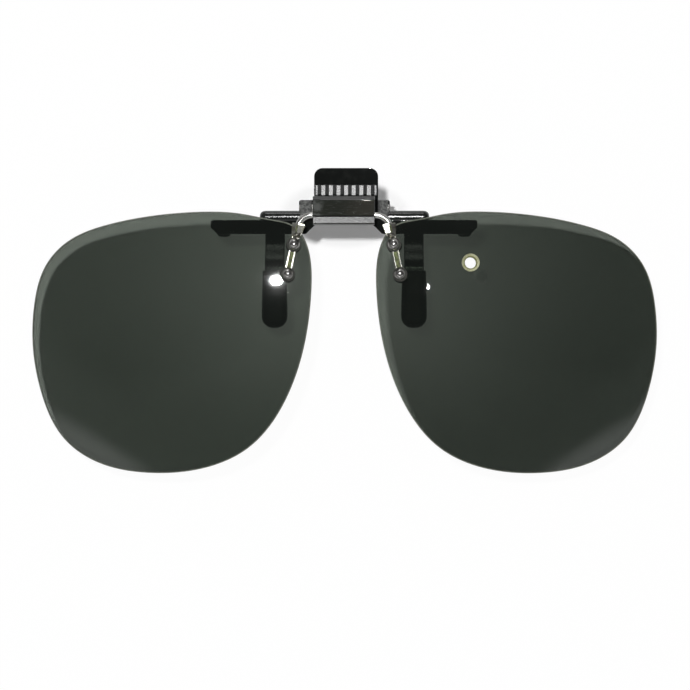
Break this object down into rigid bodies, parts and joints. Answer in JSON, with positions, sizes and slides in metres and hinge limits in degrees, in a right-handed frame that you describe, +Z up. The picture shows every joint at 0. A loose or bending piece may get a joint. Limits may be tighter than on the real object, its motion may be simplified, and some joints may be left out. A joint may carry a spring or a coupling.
{
  "type": "clip-on flip lenses",
  "caption": "Rimless tinted lenses on a bent wire that flips up in a sprung black clip, with tip pads in front and sleeved fingers behind that grip a pair of spectacles.",
  "frame": {"origin": "spectacle seat: in the plane of the tip pads' back faces, at mid height of the arms, midway between the lenses", "axes": "+X along the arms to the right as seen from the front, +Y from the lenses towards the wearer's face, +Z up"},
  "size_m": [0.1328, 0.017, 0.0645],
  "materials": {
    "lens_tint": "polished grey-green tinted plastic, see-through",
    "chrome": "bright polished plating",
    "clear_nylon": "cloudy moulded nylon",
    "steel": "plain spring steel",
    "gloss_black": "glossy black moulding with fine scratches",
    "matt_black": "matt black moulding",
    "soft_black": "soft black rubber"
  },
  "bodies": {
    "clip_front": {"front_jaw": "gloss_black", "hinge_block": "gloss_black", "axle_cover": "matt_black", "friction_leaf": "steel", "jaw_pin": "steel", "jaw_spring": "steel", "tip_pad_left": "soft_black", "tip_pad_right": "soft_black"},
    "clip_rear": {"rear_jaw": "gloss_black", "sleeve_left": "soft_black", "sleeve_right": "soft_black"},
    "flip_lenses": {"lens_left": "lens_tint", "lens_right": "lens_tint", "flip_axle": "chrome", "bracket_left": "chrome", "bracket_right": "chrome", "rivet_left_upper": "chrome", "rivet_left_lower": "chrome", "rivet_right_upper": "chrome", "rivet_right_lower": "chrome", "bush_left_upper": "clear_nylon", "bush_left_lower": "clear_nylon", "bush_right_upper": "clear_nylon", "bush_right_lower": "clear_nylon", "washer_left_upper": "steel", "washer_left_lower": "steel", "washer_right_upper": "steel", "washer_right_lower": "steel"}
  },
  "joints": [
    {"name": "flip_up", "type": "hinge", "parent": "clip_front", "child": "flip_lenses", "pos_m": [0, -0.00655, 0.0024], "axis": [-1, 0, 0], "range_deg": [0, 105]},
    {"name": "jaw_open", "type": "hinge", "parent": "clip_front", "child": "clip_rear", "pos_m": [0, 0.0016, 0.0042], "axis": [1, 0, 0], "range_deg": [0, 25], "stiffness_Nm_per_rad": 0.05, "springref_deg": -34.38, "deforming": ["jaw_spring"]}
  ]
}
